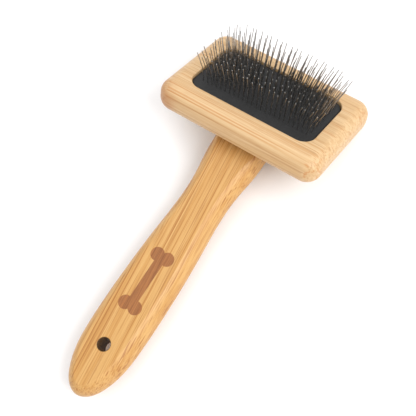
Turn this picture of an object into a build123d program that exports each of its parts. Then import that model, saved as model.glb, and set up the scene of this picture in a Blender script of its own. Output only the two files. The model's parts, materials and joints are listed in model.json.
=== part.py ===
"""A wooden slicker brush: a rounded head block with a cushioned pin pad, lap-jointed to a flat handle.

Millimetres. The pins are up and the handle is level. +X is across the handle, +Y runs from the handle's
tip to the head, +Z is up. The origin is below the middle of the brush, at the height of its lowest edge.
The head leans forward of the handle by HEAD_TILT, so everything in it is placed from the plane of its face.
"""
from build123d import *
from math import cos, hypot, radians, sin, sqrt, tan
import os

os.makedirs("parts", exist_ok=True)

# ---- driving dimensions -------------------------------------------------------------------------------
HEAD_TILT = 28.3            # the head's face against the handle's flat top, degrees
HEAD_WIDTH = 90.0
HEAD_DEPTH = 60.2
HEAD_THICKNESS = 16.0
HEAD_CORNER = 7.8           # plan radius of the head's four corners
FACE_ROUND = 6.4            # round-over of the edge next to the pins
BACK_ROUND = 7.3            # round-over of the edge on the back

RECESS_WIDTH = 68.4
RECESS_DEPTH = 38.7
RECESS_CORNER = 7.0
RECESS_FLOOR = 7.0          # how far the recess floor lies below the face
RECESS_BREAK = 0.3          # small bevel round the recess mouth

LAP_START = 15.5            # handle's top meets the head's back this far on the handle's side of centre
HANDLE_LENGTH = 147.0       # from that meeting line to the tip
HANDLE_THICKNESS = 14.6
HANDLE_SIDE = 4.9           # how far the rounded side bulges past the flat top
NECK_SIDE = 0.5             # the same where the round-over stops, close to the head
LAP_TONGUE = 24.0           # length of the wedge under the head
LAP_SHOULDER = 15.0         # where the wedge's rounded end begins
HANDLE_HALF_WIDTHS = [      # distance from the head, half width
    (0.0, 13.8),
    (13.0, 14.1),
    (28.0, 12.2),
    (40.0, 11.7),
    (62.0, 13.1),
    (85.0, 14.3),
    (102.0, 14.6),
    (115.0, 14.4),
]
TIP_ANGLES = [24, 46, 68, 90, 112, 134, 156]
SIDE_LEVELS = (-1, -0.8, -0.5, 0, 0.5, 0.8, 1)      # heights of the loft's sections, in half thicknesses

HANG_HOLE_RADIUS = 3.25
HANG_HOLE_PLACE = 121.0     # from the head, along the handle
HANG_HOLE_BREAK = 0.35

SCREW_RADIUS = 1.75
SCREW_CORE = 1.2
SCREW_HEAD_RADIUS = 3.4
SCREW_LENGTH = 17.6
SCREW_PITCH = 1.6
SCREW_TIP = 2.6
SCREW_SINK = 0.25           # head top below the recess floor
SCREW_SPACING = 14.0
SCREW_PLACE = -6.0          # along the head's depth, towards the handle
SCREW_CLEARANCE = 0.1
SCREW_SLOT = (3.6, 0.8, 1.3)    # arm length, arm width and depth of the cross in the screw's head

FOAM_GAP = 0.5              # foam to recess wall
FOAM_THICKNESS = 3.4
CLOTH_GAP = 0.45
CLOTH_BOTTOM = 3.1          # below the face
CLOTH_THICKNESS = 1.2
RUBBER_GAP = 0.35
RUBBER_THICKNESS = 1.4
RUBBER_EDGE = 0.8

PIN_RADIUS = 0.21
PIN_COLUMNS = 24
PIN_ROWS = 11
PIN_PITCH = 2.5
ROW_PITCH = 2.75
FIELD_X = 0.8               # centre of the pin field on the face
FIELD_Y = 2.0
CROWN_DEPTH = 3.32          # wire's centre below the face, where a staple crosses under the cloth
BASE_LENGTH = 10.8          # crown to knee
TIP_LENGTH = 9.2            # knee to tip
CROWN_BEND = 0.5
KNEE_BEND = 1.6
BASE_LEAN = (1.0, 0.0)      # sideways and away from the handle, at the field's centre, degrees
BASE_FAN = (9.0, 9.0)       # extra lean at the field's ends
TIP_LEAN = (2.0, 0.0)
TIP_FAN = (17.0, 18.0)
WOBBLE = 2.5                # slight unevenness from pin to pin, degrees
SIDE_WAVES = (2.3, 5.1)     # how fast the unevenness changes per column and per row, radians
FRONT_WAVES = (3.7, 1.9)
FAR_ROW_ENDS = 1            # staples left out at each end of the far row, clear of the recess corners

# ---- the frame ----------------------------------------------------------------------------------------
tilt = radians(HEAD_TILT)
half_depth = HEAD_DEPTH / 2

# The head's back edge is the lowest point, and the rounded front edge and the handle's tip are the ends.
face_height = (half_depth - BACK_ROUND) * sin(tilt) + (HEAD_THICKNESS - BACK_ROUND) * cos(tilt) + BACK_ROUND
front_reach = (half_depth - FACE_ROUND) * cos(tilt) - FACE_ROUND * sin(tilt) + FACE_ROUND
joint_reach = -LAP_START * cos(tilt) - HEAD_THICKNESS * sin(tilt)
face_forward = -(front_reach + joint_reach - HANDLE_LENGTH) / 2

face = Plane(origin=(0, face_forward, face_height), x_dir=(1, 0, 0), z_dir=(0, sin(tilt), cos(tilt)))
back = face.offset(-HEAD_THICKNESS)
recess_floor = face.offset(-RECESS_FLOOR)

joint_y = face_forward + joint_reach
handle_top = face_height + LAP_START * sin(tilt) - HEAD_THICKNESS * cos(tilt)

face_normal = Axis(face.origin, face.z_dir)

screw_places = [(-SCREW_SPACING / 2, SCREW_PLACE), (SCREW_SPACING / 2, SCREW_PLACE)]


def finish(part, name):
    """Name a finished piece and write it to its own file."""
    part.label = name
    export_step(part, f"parts/{name}.step")


# ---- head block ---------------------------------------------------------------------------------------
with BuildPart() as head_block:
    with BuildSketch(back):
        RectangleRounded(HEAD_WIDTH, HEAD_DEPTH, HEAD_CORNER)
    extrude(amount=HEAD_THICKNESS)
    fillet(head_block.faces().sort_by(face_normal)[-1].edges(), FACE_ROUND)
    fillet(head_block.faces().sort_by(face_normal)[0].edges(), BACK_ROUND)
    with BuildSketch(face):
        RectangleRounded(RECESS_WIDTH, RECESS_DEPTH, RECESS_CORNER)
    extrude(amount=-RECESS_FLOOR, mode=Mode.SUBTRACT)
    mouth = head_block.faces().filter_by(face_normal).sort_by(face_normal)[-1].inner_wires()
    chamfer(mouth.edges(), RECESS_BREAK)
    with Locations(recess_floor):
        with Locations(*screw_places):
            CounterSinkHole(SCREW_RADIUS + SCREW_CLEARANCE, SCREW_HEAD_RADIUS + SCREW_SINK, counter_sink_angle=90)
finish(head_block.part, "head_block")


# ---- handle -------------------------------------------------------------------------------------------
def outline_points(inset):
    """Points round the handle's plan, pulled in by inset, or by the small neck share of it at the head."""
    neck_inset = inset * NECK_SIDE / HANDLE_SIDE
    right = [(half - (inset if place > 0 else neck_inset), joint_y - place) for place, half in HANDLE_HALF_WIDTHS]
    shoulder = (right[0][0], joint_y + LAP_SHOULDER)
    tip_place, tip_half = HANDLE_HALF_WIDTHS[-1]
    tip = [
        (
            (tip_half - inset) * cos(radians(angle)),
            joint_y - tip_place - (HANDLE_LENGTH - tip_place - inset) * sin(radians(angle)),
        )
        for angle in TIP_ANGLES
    ]
    left = [(-x, y) for x, y in reversed([shoulder] + right)]
    return [shoulder, *right, *tip, *left]


def distances_along(points):
    """How far along the outline each point lies."""
    distances = [0.0]
    for before, after in zip(points, points[1:]):
        distances.append(distances[-1] + hypot(after[0] - before[0], after[1] - before[1]))
    return distances


def handle_outline(inset, height):
    """The handle's plan at one height. Every height shares one spacing, so the loft's sides stay even."""
    points = outline_points(inset)
    with BuildSketch(Plane.XY.offset(height)) as outline:
        with BuildLine():
            add(Edge.make_spline(points, parameters=distances_along(outline_points(0))))
            ThreePointArc(points[-1], (0, joint_y + LAP_TONGUE), points[0])
        make_face()
    return outline.sketch


with BuildPart() as handle:
    bulge_radius = (HANDLE_SIDE**2 + (HANDLE_THICKNESS / 2) ** 2) / (2 * HANDLE_SIDE)
    levels = []
    for level in SIDE_LEVELS:
        rise = level * HANDLE_THICKNESS / 2
        inset = bulge_radius - sqrt(bulge_radius**2 - rise**2)
        levels.append(handle_outline(inset, handle_top - HANDLE_THICKNESS / 2 + rise))
    loft(levels)
    split(bisect_by=back, keep=Keep.BOTTOM)
    with Locations(back):
        with Locations(*screw_places):
            Hole(SCREW_RADIUS, SCREW_LENGTH + SCREW_SINK - (HEAD_THICKNESS - RECESS_FLOOR))
    with Locations((0, joint_y - HANG_HOLE_PLACE, handle_top)):
        Hole(HANG_HOLE_RADIUS)
    hole_rims = handle.edges().filter_by(GeomType.CIRCLE).filter_by(Plane.XY)
    chamfer([e for e in hole_rims if e.radius == HANG_HOLE_RADIUS], HANG_HOLE_BREAK)
finish(handle.part, "handle")


# ---- screws that hold the head to the handle ----------------------------------------------------------
def thread_profile(top, bottom):
    """Ridges of the screw's thread, as outline points going down from top to bottom."""
    points = []
    height = top
    while height - SCREW_PITCH > bottom:
        points += [(SCREW_CORE, height), (SCREW_RADIUS, height - SCREW_PITCH / 2)]
        height -= SCREW_PITCH
    return points + [(SCREW_CORE, height)]


with BuildPart() as head_screws:
    head_height = SCREW_HEAD_RADIUS - SCREW_RADIUS
    shank_end = -(HEAD_THICKNESS - RECESS_FLOOR)
    outline = [(0, 0), (SCREW_HEAD_RADIUS, 0), (SCREW_RADIUS, -head_height), (SCREW_RADIUS, shank_end)]
    outline += thread_profile(shank_end - SCREW_PITCH / 4, -SCREW_LENGTH + SCREW_TIP)
    outline += [(0, -SCREW_LENGTH), (0, 0)]
    for x, y in screw_places:
        seat = recess_floor.offset(-SCREW_SINK)
        seat = seat.shift_origin(seat.from_local_coords((x, y, 0)))
        with BuildSketch(Plane(origin=seat.origin, x_dir=seat.x_dir, z_dir=-seat.y_dir)):
            with BuildLine():
                Polyline(*outline)
            make_face()
        revolve(axis=Axis(seat.origin, seat.z_dir))
        with BuildSketch(seat):
            Rectangle(SCREW_SLOT[0], SCREW_SLOT[1])
            Rectangle(SCREW_SLOT[1], SCREW_SLOT[0])
        extrude(amount=-SCREW_SLOT[2], mode=Mode.SUBTRACT)
finish(head_screws.part, "head_screws")


# ---- pad: foam, cloth and rubber ----------------------------------------------------------------------
def pad_layer(gap, bottom_depth, thickness, edge=0.0):
    """One layer of the pad: a rounded rectangle that leaves a gap to the recess wall."""
    with BuildPart() as layer:
        with BuildSketch(face.offset(-bottom_depth)):
            RectangleRounded(RECESS_WIDTH - 2 * gap, RECESS_DEPTH - 2 * gap, RECESS_CORNER - gap)
        extrude(amount=thickness)
        if edge:
            fillet(layer.faces().sort_by(face_normal)[-1].edges(), edge)
    return layer.part


finish(pad_layer(FOAM_GAP, RECESS_FLOOR, FOAM_THICKNESS), "cushion_foam")
finish(pad_layer(CLOTH_GAP, CLOTH_BOTTOM, CLOTH_THICKNESS), "pin_cloth")
finish(pad_layer(RUBBER_GAP, CLOTH_BOTTOM - CLOTH_THICKNESS, RUBBER_THICKNESS, RUBBER_EDGE), "rubber_pad")


# ---- pins ---------------------------------------------------------------------------------------------
def leaning(start, length, side_lean, forward_lean):
    """The point reached from start along a wire that leans sideways and forward by the given degrees."""
    run = Vector(tan(radians(side_lean)), tan(radians(forward_lean)), 1).normalized() * length
    return Vector(*start) + run


def pin_leg(column, row):
    """Foot, knee and tip of one pin, in the head's frame."""
    across = 2 * column / (PIN_COLUMNS - 1) - 1
    along = 2 * row / (PIN_ROWS - 1) - 1
    stagger = PIN_PITCH / 4 if row % 2 else -PIN_PITCH / 4
    x = FIELD_X + (column - (PIN_COLUMNS - 1) / 2) * PIN_PITCH + stagger
    y = FIELD_Y + (row - (PIN_ROWS - 1) / 2) * ROW_PITCH
    side_wobble = WOBBLE * sin(SIDE_WAVES[0] * column + SIDE_WAVES[1] * row)
    front_wobble = WOBBLE * cos(FRONT_WAVES[0] * column + FRONT_WAVES[1] * row)
    foot = Vector(x, y, -CROWN_DEPTH)
    base_side = BASE_LEAN[0] + BASE_FAN[0] * across
    base_front = BASE_LEAN[1] + BASE_FAN[1] * along
    knee = leaning(foot, BASE_LENGTH, base_side + side_wobble / 2, base_front + front_wobble / 2)
    tip_side = TIP_LEAN[0] + TIP_FAN[0] * across
    tip_front = TIP_LEAN[1] + TIP_FAN[1] * along
    tip = leaning(knee, TIP_LENGTH, tip_side + side_wobble, tip_front + front_wobble)
    return foot, knee, tip


def pin_row(row):
    """One row of wire staples. Each crosses under the cloth and stands up as two kneed pins."""
    left_out = 2 * FAR_ROW_ENDS if row == PIN_ROWS - 1 else 0
    with BuildPart() as staples:
        for column in range(left_out, PIN_COLUMNS - left_out, 2):
            route = reversed(pin_leg(column, row)), pin_leg(column + 1, row)
            corners = [face.from_local_coords(point) for leg in route for point in leg]
            with BuildLine() as wire:
                FilletPolyline(*corners, radius=[KNEE_BEND, CROWN_BEND, CROWN_BEND, KNEE_BEND])
            with BuildSketch(Plane(origin=wire.line @ 0, z_dir=wire.line % 0)):
                Circle(PIN_RADIUS)
            sweep(path=wire.line)
    return staples.part


for row in range(PIN_ROWS):
    finish(pin_row(row), f"pin_row_{row + 1:02d}")
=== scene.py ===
"""Looks of a wooden slicker brush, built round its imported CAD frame. Metres, the frame's own axes."""
import bpy
import json
from math import atan2, cos, hypot, pi, radians, sin, sqrt
from mathutils import Matrix, Vector


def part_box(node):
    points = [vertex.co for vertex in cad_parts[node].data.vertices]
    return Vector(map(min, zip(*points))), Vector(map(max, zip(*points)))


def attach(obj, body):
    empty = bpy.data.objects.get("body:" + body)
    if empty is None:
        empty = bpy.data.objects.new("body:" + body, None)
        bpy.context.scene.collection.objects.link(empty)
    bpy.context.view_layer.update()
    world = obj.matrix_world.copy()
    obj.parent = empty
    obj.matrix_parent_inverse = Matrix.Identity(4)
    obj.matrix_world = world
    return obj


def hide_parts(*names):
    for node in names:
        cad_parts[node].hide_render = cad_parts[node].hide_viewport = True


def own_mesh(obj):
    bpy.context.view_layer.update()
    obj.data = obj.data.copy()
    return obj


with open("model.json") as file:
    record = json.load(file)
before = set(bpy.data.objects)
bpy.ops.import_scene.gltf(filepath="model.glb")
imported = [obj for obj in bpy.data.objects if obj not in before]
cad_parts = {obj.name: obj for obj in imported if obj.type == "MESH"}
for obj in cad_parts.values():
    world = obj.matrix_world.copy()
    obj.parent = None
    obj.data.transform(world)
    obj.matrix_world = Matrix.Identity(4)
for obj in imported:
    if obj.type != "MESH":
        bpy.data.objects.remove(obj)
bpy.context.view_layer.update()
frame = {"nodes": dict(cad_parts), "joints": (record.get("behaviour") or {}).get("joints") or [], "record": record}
nodes = frame["nodes"]
MM = 0.001

# ---- where things are, from the frame -------------------------------------------------------------------
press = next(joint for joint in frame["joints"] if joint["name"] == "cushion_press")
face_normal = -Vector(press["axis"]).normalized()
tilt = atan2(face_normal.y, face_normal.z)


def box_middle(node):
    """The middle of a CAD node's box."""
    low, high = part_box(node)
    return (Vector(low) + Vector(high)) / 2


foam_middle = box_middle("cushion_foam")
to_frame = Matrix.Translation(foam_middle) @ Matrix.Rotation(-tilt, 4, "X")
to_head = to_frame.inverted()


def head_extent(node):
    """Lowest and highest corner of a CAD node along the head's own axes, measured from the foam's middle."""
    points = [to_head @ vertex.co for vertex in nodes[node].data.vertices]
    low = Vector([min(point[i] for point in points) for i in range(3)])
    high = Vector([max(point[i] for point in points) for i in range(3)])
    return low, high


head_low, head_high = head_extent("head_block")
foam_low, foam_high = head_extent("cushion_foam")
rubber_low, rubber_high = head_extent("rubber_pad")
face_height = head_high.z
handle_low, handle_high = (Vector(corner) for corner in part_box("handle"))
handle_top = handle_high.z
hang_hole = next(mount for mount in frame["record"]["mounts"] if mount["name"] == "hang_hole")


# ---- materials ------------------------------------------------------------------------------------------
def srgb(red, green, blue):
    """A colour given on the 0 to 255 scale, as the shader's linear colour."""
    shares = [channel / 255 for channel in (red, green, blue)]
    return (*(((share + 0.055) / 1.055) ** 2.4 for share in shares), 1.0)


class Finish:
    """A material under construction: a principled shader and the texture nodes that feed it."""

    def __init__(self, name, **constants):
        self.material = bpy.data.materials.new(name)
        self.material.use_nodes = True
        self.tree = self.material.node_tree
        self.shader = self.tree.nodes["Principled BSDF"]
        for socket, value in constants.items():
            self.shader.inputs[socket.replace("_", " ")].default_value = value

    def feed(self, socket, value):
        """Links a node's output, or sets a plain value."""
        if isinstance(value, bpy.types.NodeSocket):
            self.tree.links.new(value, socket)
        else:
            socket.default_value = value

    def node(self, kind, inputs, output=0, **settings):
        """Adds a node with its inputs fed by name or number, and returns one of its outputs."""
        node = self.tree.nodes.new(kind)
        for setting, value in settings.items():
            setattr(node, setting, value)
        for name, value in inputs.items():
            self.feed(node.inputs[name], value)
        return node.outputs[output]

    def place(self, rotation=(0, 0, 0), scale=(1, 1, 1), location=(0, 0, 0)):
        """The surface's own coordinates, turned, then stretched."""
        where = self.node("ShaderNodeTexCoord", {}, "Object")
        turned = self.node("ShaderNodeMapping", {"Vector": where, "Rotation": rotation})
        return self.node("ShaderNodeMapping", {"Vector": turned, "Scale": scale, "Location": location})

    def noise(self, where, scale=1.0, detail=3.0, roughness=0.5):
        """Smooth noise from 0 to 1."""
        inputs = {"Vector": where, "Scale": scale, "Detail": detail, "Roughness": roughness}
        return self.node("ShaderNodeTexNoise", inputs, "Fac")

    def ramp(self, value, low, high, to_low=0.0, to_high=1.0):
        """Maps low..high to to_low..to_high with soft ends."""
        inputs = {"Value": value, "From Min": low, "From Max": high, "To Min": to_low, "To Max": to_high}
        return self.node("ShaderNodeMapRange", inputs, interpolation_type="SMOOTHSTEP")

    def math(self, operation, a, b=0.0):
        """One arithmetic step."""
        return self.node("ShaderNodeMath", {0: a, 1: b}, operation=operation)

    def mix(self, share, a, b):
        """Colour a, with this share of colour b."""
        return self.node("ShaderNodeMix", {"Factor": share, 6: a, 7: b}, 2, data_type="RGBA")

    def bump(self, height, distance, strength):
        """A surface relief of this depth, in metres."""
        return self.node("ShaderNodeBump", {"Height": height, "Distance": distance, "Strength": strength})

    def set(self, **links):
        """Feeds the shader's own inputs."""
        for socket, value in links.items():
            self.feed(self.shader.inputs[socket.replace("_", " ")], value)


def bamboo(name, rotation, pale, deep, line, streak):
    """Lacquered bamboo with its fibres along the turned X axis. Returns the finish, its colour and height.

    The scales are per metre: low along the fibres and high across them, so that each noise draws long lines.
    """
    wood = Finish(name, Specular_IOR_Level=0.4, Coat_Weight=0.08, Coat_Roughness=0.3)
    broad = wood.noise(wood.place(rotation, (8, 60, 60)), detail=2.0)
    strips = wood.noise(wood.place(rotation, (10, 620, 560)), detail=2.0, roughness=0.6)
    fibres = wood.noise(wood.place(rotation, (24, 1800, 1500)), detail=3.0, roughness=0.65)
    pores = wood.noise(wood.place(rotation, (150, 3400, 3000)), detail=2.0, roughness=0.7)
    lines = wood.noise(wood.place(rotation, (9, 1150, 900), (3, 7, 1)), detail=1.0, roughness=0.4)
    tone = wood.mix(wood.ramp(strips, 0.38, 0.62, 0.0, 0.7), pale, deep)
    tone = wood.mix(wood.ramp(broad, 0.35, 0.7, 0.0, 0.15), tone, deep)
    tone = wood.mix(wood.ramp(fibres, 0.48, 0.68, 0.0, streak * 0.9), tone, line)
    tone = wood.mix(wood.ramp(lines, 0.62, 0.68, 0.0, streak), tone, line)
    tone = wood.mix(wood.ramp(pores, 0.5, 0.75, 0.0, 0.2), tone, line)
    height = wood.math("ADD", fibres, wood.math("MULTIPLY", pores, 0.6))
    return wood, tone, height


GRAIN_RELIEF = 0.06 * MM


def finish_wood(wood, tone, height):
    """Puts the colour, the grain's relief and an uneven lacquer on the shader."""
    gloss = wood.ramp(height, 0.5, 1.1, 0.36, 0.52)
    wood.set(Base_Color=tone, Roughness=gloss, Normal=wood.bump(height, GRAIN_RELIEF, 0.55))
    return wood.material


def distance_from(finish, where, point):
    """How far a place is from a point."""
    return finish.node("ShaderNodeVectorMath", {0: where, 1: point}, "Value", operation="DISTANCE")


RIDGE = 5.5 * MM                # the head's near ridge, in from its near side
RIDGE_NEAR = 1 * MM             # orange lines are thickest up to here from the ridge
RIDGE_FAR = 5 * MM
CORNER_RISE = 6 * MM            # the brown corner, above the head's back
CORNER_NEAR = 9 * MM
CORNER_FAR = 20 * MM
CORNER_RAGGED = 8 * MM


def head_wood():
    """Pale bamboo with fibres along the head, a few orange laminate lines and a brown corner."""
    turned = (tilt, 0, 0)
    wood, tone, height = bamboo(
        "head_bamboo", turned, srgb(212, 180, 136), srgb(196, 158, 110), srgb(164, 112, 60), 0.45
    )
    seams = wood.noise(wood.place(turned, (6, 950, 500), (5, 2, 9)), detail=1.0)
    across = wood.node("ShaderNodeSeparateXYZ", {"Vector": wood.place(turned)}, "Y")
    ridge = (Matrix.Rotation(tilt, 3, "X") @ (to_frame @ Vector((0, head_low.y + RIDGE, face_height)))).y
    from_ridge = wood.math("ABSOLUTE", wood.math("SUBTRACT", across, ridge))
    seams = wood.math("ADD", seams, wood.ramp(from_ridge, RIDGE_NEAR, RIDGE_FAR, 0.07, 0.0))
    tone = wood.mix(wood.ramp(seams, 0.63, 0.68, 0.0, 0.55), tone, srgb(182, 118, 54))
    corner = to_frame @ Vector((head_low.x, head_low.y, head_low.z + CORNER_RISE))
    ragged = wood.math("MULTIPLY", wood.noise(wood.place(turned, (130, 300, 300))), CORNER_RAGGED)
    reach = wood.math("ADD", distance_from(wood, wood.place(), corner), ragged)
    tone = wood.mix(wood.ramp(reach, CORNER_NEAR, CORNER_FAR, 0.6, 0.0), tone, srgb(168, 104, 52))
    return finish_wood(wood, tone, height)


BONE_HALF_LENGTH = 13.5 * MM
BONE_HALF_WIDTH = 2.4 * MM
BONE_LOBE = 3.4 * MM
BONE_LOBE_APART = 0.82          # each lobe's middle off the bone's middle line, in lobe radii
BONE_FROM_TIP = 61 * MM
BONE_RAGGED = 0.5 * MM
BONE_EDGE = (-0.1 * MM, 0.2 * MM)
BONE_BELOW_TOP = (0.6 * MM, 0.3 * MM)
HOLE_SHADE_AND_SCORCH = (0.05 * MM, 0.3 * MM)  # how far out of the hole's wall the painted shade and scorch fade
GRAIN_SLANT = radians(6)


def handle_wood():
    """Honey bamboo, its fibres a little askew to the handle, with a plain bone burnt into the flat top and the
    hang hole's wall darkened by painted shade over a little drill scorch.
    """
    turned = (0, 0, pi / 2 - GRAIN_SLANT)
    wood, tone, height = bamboo(
        "handle_bamboo", turned, srgb(206, 161, 98), srgb(190, 138, 72), srgb(148, 86, 28), 0.6
    )
    where = wood.place()
    parts = wood.node("ShaderNodeSeparateXYZ", {"Vector": where}, "X").node
    across = wood.math("ABSOLUTE", parts.outputs["X"])
    middle = handle_low.y + BONE_FROM_TIP
    along = wood.math("ABSOLUTE", wood.math("SUBTRACT", parts.outputs["Y"], middle))
    past_side = wood.math("SUBTRACT", across, BONE_HALF_WIDTH)
    past_end = wood.math("SUBTRACT", along, BONE_HALF_LENGTH)
    shaft = wood.math("MAXIMUM", past_side, past_end)
    folded = wood.node("ShaderNodeCombineXYZ", {"X": across, "Y": along})
    lobe_middle = (BONE_LOBE * BONE_LOBE_APART, BONE_HALF_LENGTH, 0)
    lobe = wood.math("SUBTRACT", distance_from(wood, folded, lobe_middle), BONE_LOBE)
    uneven = wood.math("MULTIPLY", wood.math("SUBTRACT", height, 0.8), BONE_RAGGED)
    edge = wood.math("ADD", wood.math("MINIMUM", shaft, lobe), uneven)
    burnt = wood.ramp(edge, *BONE_EDGE, 1.0, 0.0)
    on_top = wood.ramp(parts.outputs["Z"], handle_top - BONE_BELOW_TOP[0], handle_top - BONE_BELOW_TOP[1])
    mark = wood.math("MULTIPLY", burnt, on_top)
    char = wood.mix(wood.ramp(height, 0.6, 1.0), srgb(160, 98, 50), srgb(118, 66, 30))
    tone = wood.mix(wood.math("MULTIPLY", mark, 0.9), tone, char)
    flat = wood.node("ShaderNodeCombineXYZ", {"X": parts.outputs["X"], "Y": parts.outputs["Y"]})
    from_axis = distance_from(wood, flat, (hang_hole["pos_m"][0], hang_hole["pos_m"][1], 0))
    radius = hang_hole["dims"]["r_mm"] * MM
    # painted shade inside the hang hole: dark brown on the wall, partly real drill scorch, mostly the shade that
    # falls in the hole
    hole_shade_and_scorch = wood.ramp(from_axis, radius + HOLE_SHADE_AND_SCORCH[0], radius + HOLE_SHADE_AND_SCORCH[1], 0.85, 0.0)
    tone = wood.mix(hole_shade_and_scorch, tone, srgb(52, 28, 14))
    sunk = wood.math("SUBTRACT", height, wood.math("MULTIPLY", mark, 1.2))
    return finish_wood(wood, tone, sunk)


def rubber():
    """Matte black rubber with fine pits and a little dust."""
    skin = Finish("black_rubber", Specular_IOR_Level=0.28)
    where = skin.place()
    cloud = skin.noise(where, 90, 3.0)
    pits = skin.noise(where, 2600, 2.0, 0.6)
    grit = skin.noise(where, 900, 3.0, 0.7)
    tone = skin.mix(cloud, srgb(32, 32, 32), srgb(44, 44, 45))
    tone = skin.mix(skin.ramp(pits, 0.68, 0.78, 0.0, 0.5), tone, srgb(120, 120, 120))
    relief = skin.math("ADD", pits, grit)
    roughness = skin.ramp(grit, 0.3, 0.7, 0.5, 0.7)
    skin.set(Base_Color=tone, Roughness=roughness, Normal=skin.bump(relief, 0.08 * MM, 0.5))
    return skin.material


def wire():
    """Bright drawn wire, with faint draw lines and dull patches."""
    steel = Finish("pin_steel", Metallic=1.0)
    where = steel.place((-tilt, 0, 0), (3000, 3000, 250))
    drawn = steel.noise(where, 1.0, 2.0)
    patches = steel.noise(steel.place(), 300, 2.0)
    tone = steel.mix(patches, srgb(146, 143, 140), srgb(200, 198, 196))
    roughness = steel.ramp(drawn, 0.3, 0.7, 0.18, 0.36)
    steel.set(Base_Color=tone, Roughness=roughness, Normal=steel.bump(drawn, 0.01 * MM, 0.3))
    return steel.material


def screw_steel():
    """Yellowish zinc plate on the screws under the pad."""
    plate = Finish("screw_steel", Metallic=1.0)
    cloud = plate.noise(plate.place(), 500, 3.0)
    tone = plate.mix(cloud, srgb(196, 186, 150), srgb(214, 210, 190))
    roughness = plate.ramp(cloud, 0.3, 0.7, 0.25, 0.45)
    plate.set(Base_Color=tone, Roughness=roughness, Normal=plate.bump(cloud, 0.02 * MM, 0.3))
    return plate.material


THREADS = 1600                  # per metre, before the wave's own scale


def canvas():
    """Black woven canvas: two crossing sets of threads in the plane of the cloth."""
    cloth = Finish("backing_cloth", Specular_IOR_Level=0.25, Sheen_Weight=0.2)
    where = cloth.place((tilt, 0, 0), (THREADS, THREADS, THREADS))
    warp = cloth.node("ShaderNodeTexWave", {"Vector": where, "Scale": 0.5}, "Fac", bands_direction="X")
    weft = cloth.node("ShaderNodeTexWave", {"Vector": where, "Scale": 0.5}, "Fac", bands_direction="Y")
    weave = cloth.math("MAXIMUM", warp, weft)
    tone = cloth.mix(weave, srgb(24, 24, 25), srgb(50, 50, 52))
    roughness = cloth.ramp(weave, 0.0, 1.0, 0.95, 0.8)
    cloth.set(Base_Color=tone, Roughness=roughness, Normal=cloth.bump(weave, 0.1 * MM, 0.6))
    return cloth.material


def foam_finish():
    """Cream open-cell foam."""
    foam = Finish("foam", Specular_IOR_Level=0.2)
    cells = foam.node("ShaderNodeTexVoronoi", {"Vector": foam.place(), "Scale": 1400.0}, "Distance")
    tone = foam.mix(foam.ramp(cells, 0.1, 0.7), srgb(176, 166, 138), srgb(226, 220, 198))
    roughness = foam.ramp(cells, 0.1, 0.7, 0.98, 0.85)
    foam.set(Base_Color=tone, Roughness=roughness, Normal=foam.bump(cells, 0.3 * MM, 0.8))
    return foam.material


# ---- soft pieces ----------------------------------------------------------------------------------------
EDGE_ROOM = 1.2                 # in the longest edge step


def spaced(half, corner, step, edge_steps):
    """Positions from -half to half: evenly spaced, with extra ones close to the two ends.

    The edge steps are distances from each end. The even spacing stops short of the longest one.
    """
    count = int(2 * (half - corner) / step)
    inner = [-(half - corner) + 2 * (half - corner) * i / count for i in range(count + 1)]
    edge_count = int(corner / step)
    rise = [half - corner + corner * (i + 1) / edge_count for i in range(edge_count - 1)]
    outer = [x for x in rise if x < half - edge_steps[-1] * EDGE_ROOM]
    outer += [half - edge for edge in reversed(edge_steps)]
    return [-x for x in reversed(outer)] + inner + outer


def round_corner(x, y, half_x, half_y, corner):
    """Moves a point of a rectangle into the same rectangle with round corners."""
    over_x = abs(x) - (half_x - corner)
    over_y = abs(y) - (half_y - corner)
    if over_x <= 0 or over_y <= 0:
        return x, y
    reach = max(over_x, over_y)
    turn = (pi / 4) * (over_y / over_x) if over_x > over_y else pi / 2 - (pi / 4) * (over_x / over_y)
    x_out = half_x - corner + reach * cos(turn)
    y_out = half_y - corner + reach * sin(turn)
    return (x_out if x > 0 else -x_out), (y_out if y > 0 else -y_out)


def edge_distance(x, y, half_x, half_y, corner):
    """How far a point inside the rounded rectangle is from its edge."""
    over_x = abs(x) - (half_x - corner)
    over_y = abs(y) - (half_y - corner)
    if over_x > 0 and over_y > 0:
        return corner - hypot(over_x, over_y)
    return corner - max(over_x, over_y)


def pad_mesh(name, low, high, corner, step, edge_steps, top_height, bottom_height):
    """A closed rounded slab on a fine grid, in the head's own axes. The heights are functions of place."""
    half_x, half_y = (high.x - low.x) / 2, (high.y - low.y) / 2
    centre_x, centre_y = (high.x + low.x) / 2, (high.y + low.y) / 2
    xs = spaced(half_x, corner, step, edge_steps)
    ys = spaced(half_y, corner, step, edge_steps)
    spots = [round_corner(x, y, half_x, half_y, corner) for y in ys for x in xs]
    depths = [edge_distance(x, y, half_x, half_y, corner) for x, y in spots]
    top = [(centre_x + x, centre_y + y, top_height(x, y, d)) for (x, y), d in zip(spots, depths)]
    bottom = [(centre_x + x, centre_y + y, bottom_height(x, y, d)) for (x, y), d in zip(spots, depths)]
    columns, rows = len(xs), len(ys)
    below = columns * rows
    faces = []
    for j in range(rows - 1):
        for i in range(columns - 1):
            a = j * columns + i
            quad = (a, a + 1, a + columns + 1, a + columns)
            faces.append(quad)
            faces.append(tuple(below + k for k in reversed(quad)))
    rim = list(range(columns))
    rim += [j * columns + columns - 1 for j in range(1, rows)]
    rim += [(rows - 1) * columns + i for i in range(columns - 2, -1, -1)]
    rim += [j * columns for j in range(rows - 2, 0, -1)]
    for a, b in zip(rim, rim[1:] + rim[:1]):
        faces.append((a, below + a, below + b, b))
    mesh = bpy.data.meshes.new(name)
    mesh.from_pydata(top + bottom, [], faces)
    mesh.transform(to_frame)
    mesh.update()
    mesh.shade_smooth()
    piece = bpy.data.objects.new(name, mesh)
    bpy.context.scene.collection.objects.link(piece)
    return piece


def rounded_drop(depth, radius):
    """How far a rounded edge has dropped at this distance in from the side."""
    inside = max(radius - depth, 0.0)
    return radius - sqrt(max(radius**2 - inside**2, 0.0))


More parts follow.
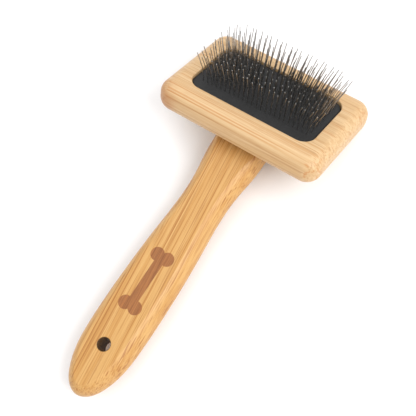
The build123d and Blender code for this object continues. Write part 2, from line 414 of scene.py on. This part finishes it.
CROWN_BELOW_FACE = 0.25 * MM
RIM_BELOW_FACE = 1.2 * MM
CROWN_POWERS = (3, 2.4)         # how late the crown falls away, across and along
RUBBER_ROUND = 0.7 * MM
RUBBER_CORNER = 6.65 * MM       # the recess corner less the gap
RUBBER_STEP = 0.7 * MM
RUBBER_EDGE_STEPS = [0.0, 0.06 * MM, 0.16 * MM, 0.32 * MM, 0.6 * MM]


def rubber_piece():
    """The rubber face of the pad: crowned, with rounded edges."""
    half_x, half_y = (rubber_high.x - rubber_low.x) / 2, (rubber_high.y - rubber_low.y) / 2
    crown = face_height - CROWN_BELOW_FACE
    drop = RIM_BELOW_FACE - CROWN_BELOW_FACE

    def top(x, y, depth):
        swell = (1 - abs(x / half_x) ** CROWN_POWERS[0]) * (1 - abs(y / half_y) ** CROWN_POWERS[1])
        return crown - drop * (1 - swell) - rounded_drop(depth, RUBBER_ROUND)

    def bottom(x, y, depth):
        return rubber_low.z

    piece = pad_mesh(
        "rubber_face", rubber_low, rubber_high, RUBBER_CORNER, RUBBER_STEP, RUBBER_EDGE_STEPS, top, bottom
    )
    piece.data.materials.append(rubber())
    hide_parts("rubber_pad")
    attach(piece, "pin_pad")


FOAM_TOP_ROUND = 0.8 * MM
FOAM_BOTTOM_ROUND = 0.4 * MM
FOAM_BOTTOM_SHARE = 0.9         # the bottom edge lifts by this share of its round
FOAM_CORNER = 6.5 * MM
FOAM_STEP = 1.6 * MM
FOAM_EDGE_STEPS = [0.0, 0.1 * MM, 0.3 * MM, 0.8 * MM]


def foam_piece():
    """The foam block under the cloth, its edges a little soft."""

    def top(x, y, depth):
        return foam_high.z - rounded_drop(depth, FOAM_TOP_ROUND)

    def bottom(x, y, depth):
        return foam_low.z + rounded_drop(depth, FOAM_BOTTOM_ROUND) * FOAM_BOTTOM_SHARE

    piece = pad_mesh("foam_block", foam_low, foam_high, FOAM_CORNER, FOAM_STEP, FOAM_EDGE_STEPS, top, bottom)
    piece.data.materials.append(foam_finish())
    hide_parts("cushion_foam")
    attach(piece, "wood_body")
    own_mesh(piece)


def dress(node, material):
    """Gives a CAD node one material."""
    data = nodes[node].data
    data.materials.clear()
    data.materials.append(material)


dress("head_block", head_wood())
dress("handle", handle_wood())
dress("head_screws", screw_steel())
dress("pin_cloth", canvas())
pin_steel = wire()
for name in nodes:
    if name.startswith("pin_row"):
        dress(name, pin_steel)
rubber_piece()
foam_piece()


# ---- floor, light and camera ----------------------------------------------------------------------------
FLOOR_REACH = 3.0


def floor():
    """A wide pale floor."""
    mesh = bpy.data.meshes.new("floor")
    reach = FLOOR_REACH
    corners = [(-reach, -reach, 0), (reach, -reach, 0), (reach, reach, 0), (-reach, reach, 0)]
    mesh.from_pydata(corners, [], [(0, 1, 2, 3)])
    plain = Finish("floor", Specular_IOR_Level=0.1)
    mottle = plain.noise(plain.place(), 40, 2.0)
    tone = plain.mix(mottle, srgb(244, 244, 245), srgb(250, 250, 251))
    plain.set(Base_Color=tone, Roughness=plain.ramp(mottle, 0, 1, 0.8, 0.9))
    mesh.materials.append(plain.material)
    ground = bpy.data.objects.new("floor", mesh)
    bpy.context.scene.collection.objects.link(ground)


def area_light(name, place, size, power):
    """A square soft white light that looks at the origin."""
    data = bpy.data.lights.new(name, "AREA")
    data.size = size
    data.energy = power
    light = bpy.data.objects.new(name, data)
    light.location = place
    light.rotation_euler = (-Vector(place)).to_track_quat("-Z", "Y").to_euler()
    bpy.context.scene.collection.objects.link(light)


CAMERA_FROM_HEAD = Vector((125.5, -128.7, 359.6)) * MM
CAMERA_AZIMUTH = radians(-59.81)
CAMERA_ELEVATION = radians(68.87)
CAMERA_ROLL = radians(27.79)
CAMERA_LENS = 70.1


def camera():
    """A camera above the brush's right side, rolled so that the handle runs down to the left."""
    data = bpy.data.cameras.new("camera")
    data.sensor_width = 36
    data.lens = CAMERA_LENS
    view = bpy.data.objects.new("camera", data)
    bpy.context.scene.collection.objects.link(view)
    look = Vector((sin(CAMERA_AZIMUTH), cos(CAMERA_AZIMUTH), 0)) * cos(CAMERA_ELEVATION)
    look.z = -sin(CAMERA_ELEVATION)
    level = look.to_track_quat("-Z", "Y").to_matrix()
    view.rotation_euler = (level @ Matrix.Rotation(-CAMERA_ROLL, 3, "Z")).to_euler()
    view.location = box_middle("head_block") + CAMERA_FROM_HEAD
    bpy.context.scene.camera = view


floor()
camera()
area_light("key", (0.6, 0.1, 0.7), size=0.5, power=5.0)
area_light("fill", (-0.4, 0.5, 0.8), size=0.9, power=2.0)
world = bpy.data.worlds.new("studio")
world.use_nodes = True
background = world.node_tree.nodes["Background"]
background.inputs["Color"].default_value = (1, 1, 1, 1)
background.inputs["Strength"].default_value = 0.95
bpy.context.scene.world = world
bpy.context.scene.view_settings.view_transform = "Standard"
